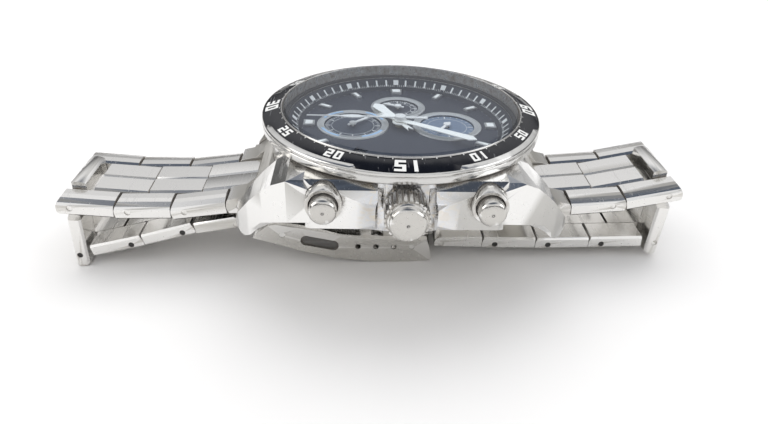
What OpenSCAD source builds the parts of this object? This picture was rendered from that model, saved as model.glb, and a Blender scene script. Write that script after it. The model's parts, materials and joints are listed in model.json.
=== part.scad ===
// Analogue chronograph wristwatch on a closed steel bracelet, dial up.
// +Z leaves the dial, +X points to 12 o'clock, -Y points to the crown.
// Origin: hands' axis at the outer face of the case back. Units: mm.

/* [Head] */
// Outer diameter of the bezel
bezel_d = 42; // [41:0.5:43]
// Outer diameter of the crystal
crystal_d = 35.6; // [35:0.1:35.8]
// Height of the bezel's outer top edge above the case back
bezel_edge_h = 10.4; // [10.3:0.1:10.6]
// Diameter of the round part of the case
case_d = 39.2; // [39:0.1:39.4]
// Bottom of the middle case above the case back
case_bottom = 0.9; // [0.8:0.1:1]
// Top of the middle case
case_top = 8.6; // [8.5:0.1:8.7]
// Distance between the lugs
lug_gap = 20; // [19.6:0.2:20.4]
// Lug tip distance from the centre
lug_reach = 23.8; // [23.6:0.1:24]
// Lug thickness at the tip
lug_w = 4.2; // [3.8:0.2:4.6]

/* [Crown and pushers] */
// Height of the crown's axis
crown_h = 5.1; // [5:0.1:5.2]
// Outer diameter of the crown
crown_d = 6; // [5.6:0.2:6.4]
// Flutes round the crown
crown_flutes = 26; // [20:1:32]
// Distance of each pusher from the crown's axis
pusher_x = 10.8; // [10.6:0.1:11]
// Height of the pushers' axes
pusher_h = 6.1; // [6:0.1:6.2]
// Pusher cap diameter
pusher_d = 3.6; // [3.4:0.1:3.8]
// Pusher stroke
pusher_stroke = 0.8; // [0.6:0.1:0.9]

/* [Dial] */
// Distance of the 6 and 12 o'clock counters from the centre
counter_x = 7.3; // [7.2:0.1:7.4]
// Distance of the 9 o'clock counter from the centre
counter_y = 7.2; // [7.1:0.1:7.3]
// Ring radius of the 6, 12 and 9 o'clock counters
counter_r = [5.6, 5.4, 4.5]; // [4:0.1:6]
// Angles of the minute, hour and stopwatch hands, clockwise from 12
hand_angles = [32.4, 242.7, 181]; // [0:0.1:360]

/* [Bracelet] */
// Pitch of the links
pitch = 8.45; // [8.35:0.05:8.5]
// Width of the links
link_w = 17.6; // [17.2:0.2:17.8]
// Thickness of the links
link_t = 2.4; // [2.2:0.1:2.6]
// Width of the centre column
centre_w = 9; // [8.6:0.2:9.4]
// Distance of the first hinge from the centre
hinge_x = 24.15; // [24.05:0.05:24.25]
// Height of the first hinges
hinge_z = -1.85; // [-1.9:0.05:-1.8]
// Link pin diameter
pin_d = 0.9; // [0.8:0.1:1]
// Slopes of the upper links at 6 o'clock
slope_6_upper = [-8, -1, 4]; // [-10:1:10]
// Slopes of the folded and lower links at 6 o'clock
slope_6_lower = [-89, -194, -196, -191]; // [-200:1:-80]
// Slopes of the upper links at 12 o'clock
slope_12_upper = [5.6, 12.5]; // [0:0.1:13]
// Slope of the folded link at 12 o'clock
slope_12_fold = -92; // [-95:1:-85]
// Slopes of the lower links at 12 o'clock
slope_12_lower = [-178, -178, -180, -181]; // [-185:1:-170]

/* [Clasp] */
// Width of the clasp cover
cover_w = 18; // [17.9:0.1:18.4]
// Thickness of the cover's sheet
cover_t = 1; // [0.9:0.1:1.1]
// Pitch of the adjustment holes
hole_pitch = 2.8; // [2.7:0.05:2.85]
// Diameter of the adjustment holes
hole_d = 0.9; // [0.8:0.1:1]
// Depth of the release buttons behind the cover's outer face
button_recess = 0.3; // [0.2:0.1:0.4]

/* [Hidden] */
$fn = 96;
eps = 0.02;
gap = 0.06;
run = 0.04;

steel = [0.78, 0.77, 0.75];
black = [0.02, 0.02, 0.03];
white = [0.92, 0.92, 0.9];
brass = [0.72, 0.6, 0.32];
rubber = [0.05, 0.05, 0.05];

bezel_r = bezel_d / 2;
crystal_r = crystal_d / 2;
case_r = case_d / 2;
bezel_inner_r = crystal_r + 0.15;
bezel_inner_h = bezel_edge_h + 0.95;
insert_in_r = bezel_inner_r + 0.25;
insert_out_r = bezel_r - 0.15;
insert_narrow_r = bezel_r - 0.85;
insert_t = 0.35;
cone = (bezel_inner_h - bezel_edge_h) / (bezel_r - bezel_inner_r);
bezel_bottom = case_top + 0.12;
crystal_bottom = bezel_edge_h - 0.6;
crystal_top = bezel_inner_h + 0.25;
gasket_h = 0.3;
dial_bottom = 7.5;
dial_top = 7.9;
dial_r = 16.3;
well_r = 16.5;
back_r = 17.3;

hour_pipe_r = 0.75;
cannon_r = 0.45;
arbor_r = 0.2;
hour_hand_z = 8.42;
minute_hand_z = 8.78;
stopwatch_z = 9.2;
small_hand_z = 8.12;
hand_t = 0.15;

wheel_module = 0.12;
cannon_teeth = 12;
minute_teeth = 36;
minute_pinion_teeth = 10;
hour_teeth = 40;
wheel_distance = wheel_module * (cannon_teeth + minute_teeth) / 2;
hour_module = 2 * wheel_distance / (minute_pinion_teeth + hour_teeth);
wheel_low = 6.15;
wheel_high = 6.55;
wheel_t = 0.25;

leg_end = 0.24 * pitch;
short_end = 1.1;
centre_end = 0.26 * pitch;
pin_r = pin_d / 2;
bore_r = pin_r + run;
half_w = link_w / 2;
half_c = centre_w / 2;
half_t = link_t / 2;

slopes_6 = concat(slope_6_upper, slope_6_lower);
slopes_12 = concat(slope_12_upper, [slope_12_fold], slope_12_lower);
function hinge(s, i) =
  i == 0 ? [hinge_x, hinge_z] : hinge(s, i - 1) + pitch * [cos(s[i - 1]), sin(s[i - 1])];

end_6 = hinge(slopes_6, 7);
end_12 = hinge(slopes_12, 7);
hinge_e = [-end_6[0], end_6[1]];
hinge_c = [-18, -6.75];
hinge_d = [-3.25, -8.05];
bar_s = [2.1, -8.75];
clasp_pin_r = 0.5;
slot_a = [-14.3, -7.75];
slot_b = [-10.2, -8.6];
slot_r = 0.9;
blade_half = 7.1;
cover_end = end_12[0] - short_end - 0.3;

// ---------- helpers ----------

module ring(r_out, r_in, z0, h) {
  translate([0, 0, z0])
    difference() {
      cylinder(r = r_out, h = h);
      translate([0, 0, -1])
        cylinder(r = r_in, h = h + 2);
    }
}

module along_y(y0, y1) {
  translate([0, y1, 0])
    rotate([90, 0, 0])
      linear_extrude(height = y1 - y0)
        children();
}

module along_x(x0, x1) {
  translate([x0, 0, 0])
    rotate([90, 0, 90])
      linear_extrude(height = x1 - x0)
        children();
}

module mirrored_y() {
  children();
  mirror([0, 1, 0])
    children();
}

module mirrored_x() {
  children();
  mirror([1, 0, 0])
    children();
}

module rod_y(x, z, r, y0, y1) {
  translate([x, y1, z])
    rotate([90, 0, 0])
      cylinder(r = r, h = y1 - y0);
}

module toothed(n, m, h, bore) {
  r = n * m / 2;
  step = 360 / n;
  pts = [
    for (i = [0:n - 1])
      for (k = [[-0.3, -1.2], [-0.18, 0], [-0.1, 0.8], [0.1, 0.8], [0.18, 0], [0.3, -1.2]])
        (r + k[1] * m) * [cos((i + k[0]) * step), sin((i + k[0]) * step)]
  ];
  linear_extrude(height = h)
    difference() {
      polygon(pts);
      circle(r = bore);
    }
}

// ---------- head, fixed pieces ----------

module lug_side() {
  polygon([
    [0, case_top], [13.2, case_top], [15.8, 8], [18, 6.7], [19.8, 5], [21.4, 3.2], [22.6, 1.5],
    [lug_reach - 0.3, 0.2], [lug_reach, -0.9], [lug_reach - 0.2, -2.1], [lug_reach - 0.7, -2.8],
    [lug_reach - 1.3, -3], [21.5, -2.4], [20.4, -1.3], [19, -0.2], [17.2, 0.5], [15, 0.85],
    [12.4, case_bottom], [0, case_bottom]
  ]);
}

module lug_plan() {
  inner = lug_gap / 2;
  polygon([
    [3, inner], [lug_reach + 0.1, inner], [lug_reach + 0.1, inner + lug_w - 0.6],
    [lug_reach - 0.5, inner + lug_w], [21.8, inner + lug_w + 1.2], [19.2, 17], [15.9, 18.8],
    [12.4, 19.9], [8.5, 20], [5, 19.7], [3, 19.4]
  ]);
}

module lug_front() {
  polygon([
    [0, case_top], [16.8, case_top], [18.6, 8.1], [19.9, 7.2], [20.6, 6], [20.8, 4.2],
    [20.2, 2.6], [18.2, 1.3], [16.6, 0.2], [15.7, -1.4], [15.3, -4], [0, -4]
  ]);
}

module guard_plan() {
  polygon([
    [-13.4, -13], [-13.4, -19.2], [-12.6, -19.9], [-10.6, -20.4], [-7, -21.1],
    [-4.1, -21.6], [-3.8, -21.2], [-3.8, -19.4], [3.8, -19.4], [3.8, -21.2], [4.1, -21.6],
    [7, -21.1], [10.6, -20.4], [12.6, -19.9], [13.4, -19.2], [13.4, -13]
  ]);
}

module guard_side() {
  polygon([
    [13, case_bottom], [13, case_top], [19.2, case_top], [20.5, 7.7], [21.4, 6.2],
    [21.8, 4.6], [21.7, 3.3], [21.2, 2.3], [19.9, 1.5], [18.5, case_bottom]
  ]);
}

module crown_bore_set(r_crown, r_push, depth) {
  rod_y(0, crown_h, r_crown, -30, -depth);
  for (x = [-pusher_x, pusher_x])
    rod_y(x, pusher_h, r_push, -30, -depth);
}

module mid_case() {
  color(steel)
    difference() {
      union() {
        translate([0, 0, case_bottom])
          cylinder(r = case_r, h = case_top - case_bottom);
        mirrored_y()
          mirrored_x()
            intersection() {
              translate([0, 0, -4])
                linear_extrude(height = case_top + 4)
                  lug_plan();
              along_y(0, 21)
                lug_side();
              along_x(-30, 30)
                lug_front();
            }
        intersection() {
          linear_extrude(height = case_top)
            guard_plan();
          mirror([0, 1, 0])
            along_x(-16, 16)
              guard_side();
        }
      }
      translate([0, 0, -4])
        cylinder(r = well_r, h = case_top + 5);
      translate([0, 0, -4])
        cylinder(r = back_r + 0.1, h = case_bottom + 4);
      translate([0, 0, case_top - 2.5])
        cylinder(r = bezel_inner_r, h = 4);
      crown_bore_set(1.2, 1.1, 10);
      for (x = [-pusher_x, pusher_x])
        rod_y(x, pusher_h, 2.45, -30, -19.3);
    }
}

module tube(x, z, r_out, r_in, y0, y1) {
  difference() {
    rod_y(x, z, r_out, y0, y1);
    rod_y(x, z, r_in, y0 - 1, y1 + 1);
  }
}

module case_tubes() {
  color(steel) {
    tube(0, crown_h, 1.19, 0.8, -22.3, -16.6);
    for (x = [-pusher_x, pusher_x]) {
      tube(x, pusher_h, 1.09, 0.74, -20.4, -13.2);
      tube(x, pusher_h, 2.4, 1.92, -21.9, -19.35);
    }
  }
}

function cone_h(r) = bezel_edge_h + cone * (bezel_r - r);

module insert_plan(play) {
  difference() {
    union() {
      circle(r = insert_narrow_r - play);
      intersection() {
        circle(r = insert_out_r - play);
        for (a = [0, 90, 180, 270])
          rotate(a)
            polygon([
              [0, 0], [19 * cos(26), 19 * sin(26)], [19.9 * cos(21), 19.9 * sin(21)],
              [22 * cos(16), 22 * sin(16)], [22 * cos(16), -22 * sin(16)],
              [19.9 * cos(21), -19.9 * sin(21)], [19 * cos(26), -19 * sin(26)]
            ]);
      }
    }
    circle(r = insert_in_r + play);
  }
}

module above_seat(drop, rise) {
  rotate_extrude()
    polygon([
      [insert_in_r - 1, cone_h(insert_in_r - 1) - drop],
      [insert_in_r - 1, cone_h(insert_in_r - 1) + rise],
      [bezel_r + 1, cone_h(bezel_r + 1) + rise],
      [bezel_r + 1, cone_h(bezel_r + 1) - drop]
    ]);
}

module bezel_ring() {
  color(steel)
    difference() {
      rotate_extrude()
        polygon([
          [crystal_r - 0.6, case_top + eps], [crystal_r - 0.6, crystal_bottom - gasket_h - 0.02],
          [bezel_inner_r, crystal_bottom - gasket_h - 0.02], [bezel_inner_r, bezel_inner_h],
          [bezel_inner_r + 0.12, bezel_inner_h + 0.12],
          [insert_in_r - 0.1, cone_h(insert_in_r) + 0.12], [insert_in_r, cone_h(insert_in_r) + 0.05],
          [bezel_r - 0.12, cone_h(bezel_r - 0.12) + 0.05], [bezel_r, bezel_edge_h - 0.12],
          [bezel_r, bezel_edge_h - 0.45], [bezel_r - 0.1, bezel_edge_h - 0.55],
          [bezel_r, bezel_edge_h - 0.65], [bezel_r, bezel_bottom + 0.25],
          [bezel_r - 0.25, bezel_bottom], [case_r - 1.2, bezel_bottom], [case_r - 1.2, case_top + eps]
        ]);
      intersection() {
        linear_extrude(height = 20)
          insert_plan(0);
        above_seat(insert_t, 2);
      }
    }
}

module bezel_insert() {
  color(black)
    intersection() {
      linear_extrude(height = 20)
        insert_plan(0.02);
      above_seat(insert_t - 0.02, 0);
    }
}

module crystal() {
  color([0.75, 0.85, 0.95, 0.25])
    rotate_extrude()
      polygon([
        [0, crystal_bottom], [crystal_r, crystal_bottom], [crystal_r, crystal_top - 0.3],
        [crystal_r - 0.3, crystal_top], [0, crystal_top]
      ]);
}

module crystal_gasket() {
  color(rubber)
    ring(crystal_r, crystal_r - 0.6, crystal_bottom - gasket_h, gasket_h - 0.01);
}

module chapter_ring() {
  top = crystal_bottom - 0.35;
  color(black)
    rotate_extrude()
      polygon([
        [15.1, dial_top + eps], [15.6, dial_top + 0.35], [16.7, top - 0.1], [16.9, top],
        [crystal_r - 0.7, top], [crystal_r - 0.7, case_top - 0.2], [16.4, dial_top + eps]
      ]);
}

module counter_at(i) {
  centres = [[-counter_x, 0], [counter_x, 0], [0, counter_y]];
  translate(centres[i])
    children();
}

module dial() {
  color(black)
    difference() {
      translate([0, 0, dial_bottom])
        cylinder(r = dial_r, h = dial_top - dial_bottom);
      for (i = [0:2])
        counter_at(i) {
          translate([0, 0, dial_top - 0.15])
            cylinder(r = counter_r[i] - 1.2, h = 1);
          cylinder(r = 0.3, h = 20);
        }
      cylinder(r = hour_pipe_r + 0.1, h = 20);
      rotate([0, 0, -124])
        translate([11.6, 0, dial_bottom])
          cube([2.6, 1.9, 2], center = true);
    }
}

module baton(r0, r1, w0, w1, h) {
  translate([0, 0, dial_top + 0.01])
    difference() {
      linear_extrude(height = h)
        polygon([[r0, -w0 / 2], [r1, -w1 / 2], [r1, w1 / 2], [r0, w0 / 2]]);
      translate([(r0 + r1) / 2, 0, h])
        cube([r1 - r0 - 0.5, w0 - 0.4, 0.15], center = true);
    }
}

module hour_markers() {
  color(steel) {
    for (a = [30, 60, 120, 150, 210, 240, 300, 330])
      rotate([0, 0, -a])
        baton(12.6, 14.8, 0.9, 1.1, 0.35);
    for (a = [0, 180, 270])
      rotate([0, 0, -a])
        baton(13.2, 14.9, 1.7, 2, 0.35);
    for (x = [-0.75, 0.75])
      translate([x, 0, 0])
        rotate([0, 0, -90])
          baton(11.6, 14.8, 1, 1.1, 0.35);
  }
}

module counter_rings() {
  color(steel)
    for (i = [0:2])
      counter_at(i)
        translate([0, 0, dial_top + 0.01])
          rotate_extrude()
            polygon([
              [counter_r[i] - 1.15, 0], [counter_r[i] - 1.15, 0.12], [counter_r[i] - 0.35, 0.22],
              [counter_r[i] - 0.08, 0.18], [counter_r[i] - 0.02, 0]
            ]);
}

module movement_holder() {
  color([0.85, 0.85, 0.82])
    difference() {
      ring(well_r - 0.15, 14.6, 2.2, dial_bottom - 2.22);
      crown_bore_set(1.5, 1.4, 8);
    }
}

module main_plate() {
  color(brass)
    difference() {
      translate([0, 0, 4.4])
        cylinder(r = 14.5, h = dial_bottom - 4.42);
      translate([0, 0, wheel_low - 0.1])
        cylinder(r = 4.1, h = 3);
      translate([0, -wheel_distance, wheel_low - 0.1])
        cylinder(r = 2.6, h = 3);
      cylinder(r = arbor_r + 0.05, h = 20);
      translate([0, -wheel_distance, 0])
        cylinder(r = arbor_r + 0.05, h = 20);
      for (i = [0:2])
        counter_at(i)
          cylinder(r = 0.25, h = 20);
      rod_y(0, crown_h, 0.95, -20, -3.6);
      for (x = [-pusher_x, pusher_x])
        rod_y(x, pusher_h, 1, -20, -7.6);
    }
}

module circuit_board() {
  color([0.1, 0.3, 0.16])
    difference() {
      translate([0, 0, 3.4])
        cylinder(r = 14.2, h = 0.6);
      translate([6.2, 5, 0])
        cylinder(r = 5.2, h = 20);
      translate([-6.5, 5.4, 0])
        cylinder(r = 3.9, h = 20);
      translate([-8, -6.4, 0])
        cylinder(r = 3.4, h = 20);
      for (a = [20, 140, 260])
        rotate([0, 0, a])
          translate([12.6, 0, 0])
            cylinder(r = 0.5, h = 20);
    }
}

module battery() {
  color(steel)
    translate([6.2, 5, 1.6])
      rotate_extrude()
        polygon([
          [0, 0], [4.3, 0], [4.3, 0.25], [4.75, 0.45], [4.75, 2.3], [4.6, 2.5], [0, 2.5]
        ]);
}

module coil(x, y, a, l) {
  translate([x, y, 3.2])
    rotate([0, 90, a])
      union() {
        translate([0, 0, -l / 2])
          cylinder(r = 1.05, h = l);
        for (side = [-1, 1])
          translate([0, 0, side * (l / 2 + 0.2)])
            cube([2.1, 2.4, 0.4], center = true);
      }
}

module motor_coils() {
  color([0.75, 0.38, 0.2]) {
    coil(-6.5, 5.4, 30, 4.6);
    coil(-8, -6.4, -50, 4);
  }
}

module case_back() {
  color(steel)
    difference() {
      rotate_extrude()
        polygon([
          [0, 0], [14.6, 0], [15.2, 0.12], [back_r, 0.5], [back_r, case_bottom - eps],
          [well_r - 0.05, case_bottom - eps], [well_r - 0.05, 2.1], [15.6, 2.1], [15.6, 0.8],
          [0, 0.8]
        ]);
      for (a = [0:60:300])
        rotate([0, 0, a])
          translate([14.4, 0, 0])
            cube([2, 2.4, 0.7], center = true);
      difference() {
        translate([0, 0, 1.2])
          cylinder(r = well_r + 1, h = 0.6);
        translate([0, 0, 1])
          cylinder(r = well_r - 0.5, h = 1);
      }
    }
}

module case_back_gasket() {
  color(rubber)
    ring(well_r - 0.01, well_r - 0.48, 1.22, 0.56);
}

// ---------- hands and wheels ----------

module pointer(r0, r1, w0, w1, z) {
  translate([0, 0, z])
    linear_extrude(height = hand_t)
      polygon([
        [r0, -w0 / 2], [r1 - 0.9, -w1 / 2], [r1, -0.08], [r1, 0.08], [r1 - 0.9, w1 / 2],
        [r0, w0 / 2]
      ]);
}

module minute_hand() {
  color(white)
    rotate([0, 0, -hand_angles[0]])
      difference() {
        union() {
          pointer(0, 12.9, 1, 1.5, minute_hand_z);
          pointer(0, -3.2, 0.7, 0.9, minute_hand_z);
          translate([0, 0, minute_hand_z])
            cylinder(r = 0.9, h = 0.3);
        }
        translate([0, 0, minute_hand_z - 1])
          cylinder(r = cannon_r + 0.01, h = 3);
      }
}

module cannon_pinion() {
  color(brass)
    difference() {
      union() {
        translate([0, 0, wheel_low])
          cylinder(r = cannon_r, h = minute_hand_z + 0.28 - wheel_low);
        rotate([0, 0, 360 / cannon_teeth / 2 - 90])
          translate([0, 0, wheel_low])
            toothed(cannon_teeth, wheel_module, wheel_t, arbor_r);
      }
      cylinder(r = arbor_r + 0.04, h = 20);
    }
}

module hour_hand() {
  color(white)
    rotate([0, 0, -hand_angles[1]])
      difference() {
        union() {
          pointer(0, 8.2, 1.1, 1.9, hour_hand_z);
          pointer(0, -2.4, 0.7, 0.9, hour_hand_z);
          translate([0, 0, hour_hand_z])
            cylinder(r = 1.2, h = 0.25);
        }
        translate([0, 0, hour_hand_z - 1])
          cylinder(r = hour_pipe_r + 0.01, h = 3);
      }
}

module hour_wheel() {
  color(brass)
    difference() {
      union() {
        translate([0, 0, wheel_high])
          cylinder(r = hour_pipe_r, h = hour_hand_z + 0.23 - wheel_high);
        rotate([0, 0, 360 / hour_teeth / 2 - 90])
          translate([0, 0, wheel_high])
            toothed(hour_teeth, hour_module, wheel_t, cannon_r);
      }
      cylinder(r = cannon_r + 0.04, h = 20);
    }
}

module minute_wheel() {
  color(brass)
    translate([0, -wheel_distance, 0]) {
      rotate([0, 0, 90])
        translate([0, 0, wheel_low])
          toothed(minute_teeth, wheel_module, wheel_t, 0.1);
      rotate([0, 0, 90])
        translate([0, 0, wheel_low + wheel_t - 0.05])
          toothed(minute_pinion_teeth, hour_module, wheel_high + wheel_t - wheel_low - 0.2, 0.1);
      translate([0, 0, 4.6])
        cylinder(r = arbor_r, h = wheel_high + wheel_t - 4.6);
    }
}

module small_hand(i, a, l) {
  color(white)
    counter_at(i)
      rotate([0, 0, -a])
        union() {
          pointer(-1, l, 0.35, 0.55, small_hand_z);
          translate([0, 0, 5])
            cylinder(r = 0.2, h = small_hand_z - 4.9);
          translate([0, 0, small_hand_z])
            cylinder(r = 0.55, h = 0.25);
        }
}

module hand_24_hour() {
  small_hand(1, 121, 3.4);
}

module small_seconds_hand() {
  small_hand(0, 316, 3.7);
}

module counter_hand() {
  small_hand(2, 205, 2.6);
}

module stopwatch_hand() {
  color(white)
    rotate([0, 0, -hand_angles[2]])
      union() {
        translate([0, 0, stopwatch_z])
          linear_extrude(height = hand_t)
            union() {
              polygon([
                [-4.2, -0.45], [-3.4, -0.3], [0, -0.22], [14.4, -0.09], [14.4, 0.09],
                [0, 0.22], [-3.4, 0.3], [-4.2, 0.45]
              ]);
              polygon([
                [5.4, 0], [6.4, -0.5], [7.4, -0.6], [8.6, -0.4], [9.6, 0], [8.6, 0.4],
                [7.4, 0.6], [6.4, 0.5]
              ]);
            }
        translate([0, 0, stopwatch_z - 0.1])
          cylinder(r = 0.85, h = 0.45);
        translate([0, 0, 4.6])
          cylinder(r = arbor_r, h = stopwatch_z - 4.5);
      }
}

// ---------- crown and pushers ----------

module crown() {
  pts = [
    for (i = [0:crown_flutes - 1])
      for (k = [[-0.28, 1], [0.28, 1], [0.4, 0.93], [0.6, 0.93]])
        k[1] * crown_d / 2 * [cos((i + k[0]) * 360 / crown_flutes), sin((i + k[0]) * 360 / crown_flutes)]
  ];
  color(steel)
    difference() {
      union() {
        translate([0, 0, crown_h])
          rotate([90, 0, 0]) {
            translate([0, 0, 20.5])
              linear_extrude(height = 3.1)
                polygon(pts);
            rotate_extrude()
              polygon([
                [0, 19.9], [2.4, 19.9], [2.72, 20.3], [2.72, 23.7], [2.6, 24.1], [2.45, 24.2],
                [2.4, 24.6], [2.2, 24.85], [0, 25]
              ]);
          }
      }
      rod_y(0, crown_h, 1.4, -22.9, -19);
      rod_y(0, crown_h, 0.71, -23.9, -19);
    }
}

module winding_stem() {
  color(steel)
    union() {
      rod_y(0, crown_h, 0.7, -23.85, -12);
      rod_y(0, crown_h, 0.45, -12.1, -4.2);
      rod_y(0, crown_h, 0.7, -7.2, -5.2);
    }
}

module crown_gasket() {
  color(rubber)
    translate([0, -22.4, crown_h])
      rotate([90, 0, 0])
        difference() {
          cylinder(r = 1.38, h = 0.45);
          translate([0, 0, -1])
            cylinder(r = 0.72, h = 3);
        }
}

module pusher(x) {
  color(steel)
    translate([x, 0, pusher_h])
      rotate([90, 0, 0])
        rotate_extrude()
          polygon([
            [0, 11.2], [0.7, 11.2], [0.7, 21.75], [pusher_d / 2, 21.75], [pusher_d / 2, 23.4],
            [pusher_d / 2 - 0.2, 23.65], [pusher_d / 2 - 0.45, 23.75], [0, 23.85]
          ]);
}

module pusher_spring(x) {
  color(steel)
    for (k = [0:2])
      translate([x, -20.62 - k * 0.47, pusher_h])
        rotate([90, 0, 0])
          rotate_extrude()
            translate([1.35, 0])
              circle(r = 0.13);
}

module spring_start() {
  pusher_spring(pusher_x);
}

module spring_reset() {
  pusher_spring(-pusher_x);
}

module pusher_start() {
  pusher(pusher_x);
}

module pusher_reset() {
  pusher(-pusher_x);
}

// ---------- bracelet ----------

module at_hinge(s, i, side) {
  h = hinge(s, i);
  mirror([side < 0 ? 1 : 0, 0, 0])
    translate([h[0], 0, h[1]])
      rotate([0, -s[i], 0])
        children();
}

module leg_profile(start, tail) {
  intersection() {
    translate([start, -half_t])
      square([pitch + tail - start, link_t]);
    union() {
      translate([start, -half_t])
        square([pitch - start, link_t]);
      translate([pitch, 0])
        circle(r = tail);
    }
  }
}

module centre_profile() {
  intersection() {
    translate([-centre_end, -half_t])
      square([pitch, link_t]);
    union() {
      translate([0, -half_t])
        square([pitch - centre_end - gap, link_t]);
      circle(r = centre_end);
    }
  }
}

module leg_section() {
  mirrored_x()
    polygon([
      [half_c + gap, -half_t], [half_w - 0.3, -half_t], [half_w, -half_t + 0.3],
      [half_w, half_t - 0.75], [half_w - 0.35, half_t - 0.4], [half_w - 1.4, half_t - 0.1],
      [half_w - 2.4, half_t], [half_c + 0.5, half_t], [half_c + gap, half_t - 0.3]
    ]);
}

module centre_section(w) {
  polygon([
    [-w, -half_t], [w, -half_t], [w, half_t - 0.3], [w - 0.4, half_t], [0.35, half_t],
    [0, half_t - 0.3], [-0.35, half_t], [-w + 0.4, half_t], [-w, half_t - 0.3]
  ]);
}

module link_body(tail) {
  difference() {
    union() {
      intersection() {
        along_y(-half_w, half_w)
          leg_profile(leg_end + gap, tail);
        along_x(-pitch, 2 * pitch)
          leg_section();
      }
      intersection() {
        along_y(-half_w, half_w)
          centre_profile();
        along_x(-pitch, 2 * pitch)
          centre_section(half_c - gap);
      }
      translate([leg_end + 2 * gap, -half_c - 0.5, -half_t + 0.1])
        cube([pitch - leg_end - centre_end - 4 * gap, centre_w + 1, link_t - 0.4]);
    }
    rod_y(0, 0, bore_r, -half_w, half_w);
    rod_y(pitch, 0, pin_r + 0.005, -half_w - 1, half_w + 1);
  }
}

module link(s, i, side, tail = leg_end) {
  color(steel)
    at_hinge(s, i, side) {
      link_body(tail);
      rod_y(pitch, 0, pin_r, -half_w + 0.1, half_w - 0.1);
    }
}

module end_link_side() {
  intersection() {
    polygon([
      [18, -1.4], [20.4, -2.2], [22.2, hinge_z - half_t], [hinge_x + 3, hinge_z - half_t],
      [hinge_x + 3, hinge_z + half_t - 0.5], [hinge_x + 1.2, hinge_z + half_t], [23.4, -0.2],
      [22, 1], [20.8, 2.3], [19.8, 3.6], [18, 4.6]
    ]);
    union() {
      translate([10, -10])
        square([hinge_x - 10, 20]);
      translate([hinge_x, hinge_z])
        circle(r = leg_end);
    }
  }
}

module end_links() {
  color(steel)
    mirrored_x()
      difference() {
        union() {
          intersection() {
            along_y(-half_w - 0.9, half_w + 0.9)
              end_link_side();
            translate([0, 0, -6])
              difference() {
                cylinder(r = 60, h = 12);
                translate([0, 0, -1])
                  cylinder(r = case_r + 0.04, h = 14);
              }
          }
        }
        translate([hinge_x - centre_end - gap, -half_c, -10])
          cube([10, centre_w, 20]);
        rod_y(hinge_x, hinge_z, pin_r + 0.005, -20, 20);
        translate([hinge_x, -half_w - 3, -8])
          cube([9, 3, 16]);
        translate([hinge_x, half_w, -8])
          cube([9, 3, 16]);
      }
}

module lug_spring_bars() {
  color(steel)
    mirrored_x()
      rod_y(hinge_x, hinge_z, pin_r, -half_w + 0.1, half_w - 0.1);
}

// ---------- clasp ----------

module cover_outer() {
  polygon([
    [-22.6, -7.35], [-22.2, -6.75], [-20.2, -5.15], [-19.1, -4.9], [-15.2, -5.5], [-8.7, -6.8],
    [-2.2, -7.4], [cover_end - 0.9, -7.3], [cover_end, -10.7], [cover_end - 0.3, -11.2],
    [1.1, -11.55], [-4.3, -11.55], [-9.8, -10.95], [-15.2, -9.65], [-19.5, -8.25]
  ]);
}

module cover_floor() {
  polygon([
    [-22.6, -7.35], [-22.1, -7.05], [-19.3, -7.85], [-14.9, -8.8], [-9.5, -10],
    [-4.3, -10.55], [1.1, -10.55], [cover_end - 0.1, -10.3], [cover_end, -10.7],
    [cover_end - 0.3, -11.2], [1.1, -11.55], [-4.3, -11.55], [-9.8, -10.95],
    [-15.2, -9.65], [-19.5, -8.25]
  ]);
}

module clasp_cover() {
  half = cover_w / 2;
  color(steel)
    difference() {
      union() {
        along_y(-half, half)
          cover_floor();
        for (side = [-1, 1])
          along_y(side > 0 ? half - cover_t : -half, side > 0 ? half : -half + cover_t)
            cover_outer();
      }
      rod_y(hinge_c[0], hinge_c[1], clasp_pin_r + 0.005, -20, 20);
      for (i = [0:3])
        rod_y(bar_s[0] - i * hole_pitch, bar_s[1], hole_d / 2, -20, 20);
      along_y(-20, 20)
        slot_shape(slot_r);
    }
}

module cover_pins() {
  half = cover_w / 2;
  color(steel) {
    rod_y(hinge_c[0], hinge_c[1], clasp_pin_r, -half + 0.1, half - 0.1);
    rod_y(bar_s[0], bar_s[1], hole_d / 2 - 0.005, -half + 0.1, half - 0.1);
  }
}

module clasp_tongue() {
  tip = end_12[0] - pin_r - 0.12;
  color(steel)
    difference() {
      intersection() {
        along_y(-half_c + gap, half_c - gap)
          union() {
            translate([bar_s[0], bar_s[1]])
              circle(r = 1.1);
            polygon([
              [bar_s[0], bar_s[1] - 1.1], [tip - 0.2, end_12[1] - 1.1], [tip, end_12[1] - 0.9],
              [tip, end_12[1] + 0.9], [tip - 0.2, end_12[1] + 1.1], [bar_s[0], bar_s[1] + 1.1]
            ]);
          }
        translate([0, -20, -20])
          cube([20, 40, 40]);
      }
      rod_y(bar_s[0], bar_s[1], hole_d / 2 + 0.02, -20, 20);
    }
}

module clasp_outer_blade() {
  dir = hinge_d - hinge_c;
  nrm = [-dir[1], dir[0]] / norm(dir);
  color(steel)
    difference() {
      union() {
        along_y(-blade_half, blade_half)
          union() {
            translate(hinge_c)
              circle(r = 0.95);
            polygon([
              hinge_c - 0.88 * nrm, hinge_d - 0.88 * nrm, hinge_d - 0.05 * nrm,
              hinge_c - 0.05 * nrm
            ]);
          }
        for (side = [-1, 1])
          along_y(side > 0 ? 3.6 : -blade_half, side > 0 ? blade_half : -3.6)
            translate(hinge_d)
              circle(r = 0.95);
      }
      rod_y(hinge_c[0], hinge_c[1], clasp_pin_r + run, -20, 20);
      rod_y(hinge_d[0], hinge_d[1], clasp_pin_r + 0.005, -20, 20);
      rod_y(hinge_d[0], hinge_d[1], 1.15, -3.55, 3.55);
    }
  color(steel)
    rod_y(hinge_d[0], hinge_d[1], clasp_pin_r, 0.1 - blade_half, blade_half - 0.1);
}

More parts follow.
